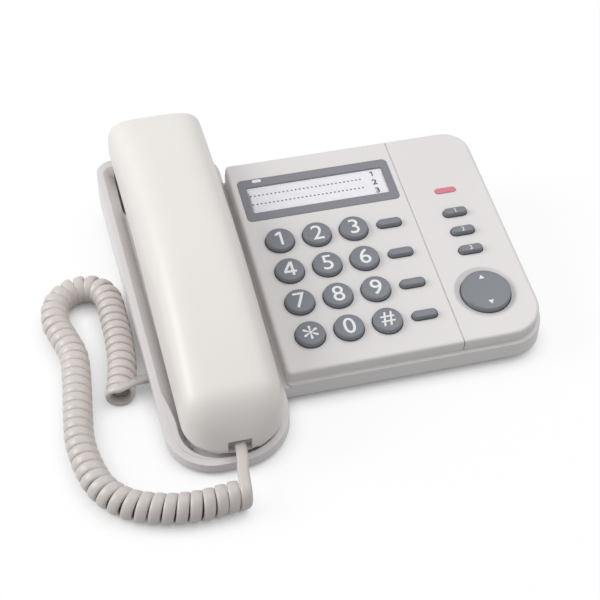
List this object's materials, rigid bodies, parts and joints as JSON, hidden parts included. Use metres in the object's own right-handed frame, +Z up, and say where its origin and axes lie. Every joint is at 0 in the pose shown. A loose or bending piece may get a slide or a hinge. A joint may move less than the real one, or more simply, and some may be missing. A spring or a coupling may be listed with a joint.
{
  "type": "corded desk telephone",
  "caption": "Corded desk telephone in ivory plastic: handset on a sloping cradle at the left, raised keypad deck at the right, coiled handset cord.",
  "frame": {"origin": "on the table under the middle of the telephone's box, handset included, cord left out", "axes": "+X to the right seen from the user's side, +Y to the back, +Z up from the table"},
  "size_m": [0.2308, 0.2361, 0.0608],
  "materials": {
    "ivory_shell": "injection moulded ABS with a fine satin face",
    "grey_keys": "moulded ABS, printed legends",
    "index_frame_grey": "moulded ABS, fine matt face",
    "card": "printed index card",
    "clear_cover": "clear acrylic sheet, modelled as glass",
    "pink_lens": "tinted translucent acrylic",
    "silicone": "moulded silicone",
    "board": "glass epoxy board with green resist",
    "steel": "zinc plated steel",
    "capsule": "moulded black plastic capsule",
    "dark_plastic": "moulded black nylon",
    "rubber_feet": "moulded rubber",
    "clear_plug": "clear polycarbonate",
    "cord_jacket": "extruded soft PVC"
  },
  "bodies": {
    "base": {"lower_case": "ivory_shell", "upper_case": "ivory_shell", "side_panel": "ivory_shell", "index_frame": "index_frame_grey", "index_card": "card", "index_cover": "clear_cover", "ringer_lamp": "pink_lens", "keypad_mat": "silicone", "circuit_board": "board", "board_screws": "steel", "hook_switch": "dark_plastic", "handset_hanger": "ivory_shell", "cord_jack": "dark_plastic", "line_jack": "dark_plastic", "slide_switches": "dark_plastic", "ringer_buzzer": "capsule", "ballast_plate": "steel", "feet": "rubber_feet", "case_screws": "steel", "base_plug": "clear_plug", "cord_base_lead": "cord_jacket", "cord_coil": "cord_jacket", "cord_handset_lead": "cord_jacket"},
    "handset": {"handset_back_shell": "ivory_shell", "handset_face_shell": "ivory_shell", "receiver_capsule": "capsule", "microphone": "capsule", "handset_weight": "steel", "handset_jack": "dark_plastic", "handset_screws": "steel", "handset_plug": "clear_plug"},
    "hook": {"hook_plunger": "ivory_shell"},
    "volume": {"volume_key": "grey_keys"},
    "ringer_slider": {"ringer_switch": "grey_keys"},
    "mode_slider": {"mode_switch": "grey_keys"},
    "dial_key_1_body": {"dial_key_1": "grey_keys"},
    "dial_key_2_body": {"dial_key_2": "grey_keys"},
    "dial_key_3_body": {"dial_key_3": "grey_keys"},
    "dial_key_4_body": {"dial_key_4": "grey_keys"},
    "dial_key_5_body": {"dial_key_5": "grey_keys"},
    "dial_key_6_body": {"dial_key_6": "grey_keys"},
    "dial_key_7_body": {"dial_key_7": "grey_keys"},
    "dial_key_8_body": {"dial_key_8": "grey_keys"},
    "dial_key_9_body": {"dial_key_9": "grey_keys"},
    "dial_key_star_body": {"dial_key_star": "grey_keys"},
    "dial_key_0_body": {"dial_key_0": "grey_keys"},
    "dial_key_hash_body": {"dial_key_hash": "grey_keys"},
    "function_key_1_body": {"function_key_1": "grey_keys"},
    "function_key_2_body": {"function_key_2": "grey_keys"},
    "function_key_3_body": {"function_key_3": "grey_keys"},
    "function_key_4_body": {"function_key_4": "grey_keys"},
    "memory_key_1_body": {"memory_key_1": "grey_keys"},
    "memory_key_2_body": {"memory_key_2": "grey_keys"},
    "memory_key_3_body": {"memory_key_3": "grey_keys"}
  },
  "joints": [
    {"name": "handset_lift", "type": "slide", "parent": "base", "child": "handset", "axis": [0, -0.1328, 0.9911], "range_m": [0, 0.1]},
    {"name": "hook_travel", "type": "slide", "parent": "base", "child": "hook", "axis": [0, -0.1328, 0.9911], "range_m": [0, 0.0035]},
    {"name": "dial_key_1_press", "type": "slide", "parent": "base", "child": "dial_key_1_body", "axis": [0, 0.1702, -0.9854], "range_m": [0, 0.0012], "stiffness_N_per_m": 200},
    {"name": "dial_key_2_press", "type": "slide", "parent": "base", "child": "dial_key_2_body", "axis": [0, 0.1702, -0.9854], "range_m": [0, 0.0012], "stiffness_N_per_m": 200},
    {"name": "dial_key_3_press", "type": "slide", "parent": "base", "child": "dial_key_3_body", "axis": [0, 0.1702, -0.9854], "range_m": [0, 0.0012], "stiffness_N_per_m": 200},
    {"name": "dial_key_4_press", "type": "slide", "parent": "base", "child": "dial_key_4_body", "axis": [0, 0.1702, -0.9854], "range_m": [0, 0.0012], "stiffness_N_per_m": 200},
    {"name": "dial_key_5_press", "type": "slide", "parent": "base", "child": "dial_key_5_body", "axis": [0, 0.1702, -0.9854], "range_m": [0, 0.0012], "stiffness_N_per_m": 200},
    {"name": "dial_key_6_press", "type": "slide", "parent": "base", "child": "dial_key_6_body", "axis": [0, 0.1702, -0.9854], "range_m": [0, 0.0012], "stiffness_N_per_m": 200},
    {"name": "dial_key_7_press", "type": "slide", "parent": "base", "child": "dial_key_7_body", "axis": [0, 0.1702, -0.9854], "range_m": [0, 0.0012], "stiffness_N_per_m": 200},
    {"name": "dial_key_8_press", "type": "slide", "parent": "base", "child": "dial_key_8_body", "axis": [0, 0.1702, -0.9854], "range_m": [0, 0.0012], "stiffness_N_per_m": 200},
    {"name": "dial_key_9_press", "type": "slide", "parent": "base", "child": "dial_key_9_body", "axis": [0, 0.1702, -0.9854], "range_m": [0, 0.0012], "stiffness_N_per_m": 200},
    {"name": "dial_key_star_press", "type": "slide", "parent": "base", "child": "dial_key_star_body", "axis": [0, 0.1702, -0.9854], "range_m": [0, 0.0012], "stiffness_N_per_m": 200},
    {"name": "dial_key_0_press", "type": "slide", "parent": "base", "child": "dial_key_0_body", "axis": [0, 0.1702, -0.9854], "range_m": [0, 0.0012], "stiffness_N_per_m": 200},
    {"name": "dial_key_hash_press", "type": "slide", "parent": "base", "child": "dial_key_hash_body", "axis": [0, 0.1702, -0.9854], "range_m": [0, 0.0012], "stiffness_N_per_m": 200},
    {"name": "function_key_1_press", "type": "slide", "parent": "base", "child": "function_key_1_body", "axis": [0, 0.1702, -0.9854], "range_m": [0, 0.0012], "stiffness_N_per_m": 200},
    {"name": "function_key_2_press", "type": "slide", "parent": "base", "child": "function_key_2_body", "axis": [0, 0.1702, -0.9854], "range_m": [0, 0.0012], "stiffness_N_per_m": 200},
    {"name": "function_key_3_press", "type": "slide", "parent": "base", "child": "function_key_3_body", "axis": [0, 0.1702, -0.9854], "range_m": [0, 0.0012], "stiffness_N_per_m": 200},
    {"name": "function_key_4_press", "type": "slide", "parent": "base", "child": "function_key_4_body", "axis": [0, 0.1702, -0.9854], "range_m": [0, 0.0012], "stiffness_N_per_m": 200},
    {"name": "memory_key_1_press", "type": "slide", "parent": "base", "child": "memory_key_1_body", "axis": [0, 0.1702, -0.9854], "range_m": [0, 0.0012], "stiffness_N_per_m": 200},
    {"name": "memory_key_2_press", "type": "slide", "parent": "base", "child": "memory_key_2_body", "axis": [0, 0.1702, -0.9854], "range_m": [0, 0.0012], "stiffness_N_per_m": 200},
    {"name": "memory_key_3_press", "type": "slide", "parent": "base", "child": "memory_key_3_body", "axis": [0, 0.1702, -0.9854], "range_m": [0, 0.0012], "stiffness_N_per_m": 200},
    {"name": "volume_tilt", "type": "hinge", "parent": "base", "child": "volume", "pos_m": [0.0715, -0.04228, 0.01841], "axis": [1, 0, 0], "range_deg": [-3, 3], "stiffness_Nm_per_rad": 0.05},
    {"name": "ringer_slide", "type": "slide", "parent": "base", "child": "ringer_slider", "axis": [1, 0, 0], "range_m": [0, 0.004]},
    {"name": "mode_slide", "type": "slide", "parent": "base", "child": "mode_slider", "axis": [1, 0, 0], "range_m": [0, 0.004]}
  ],
  "couplings": [
    {"joint": "hook_travel", "follows": "handset_lift", "ratio": 0.035}
  ]
}
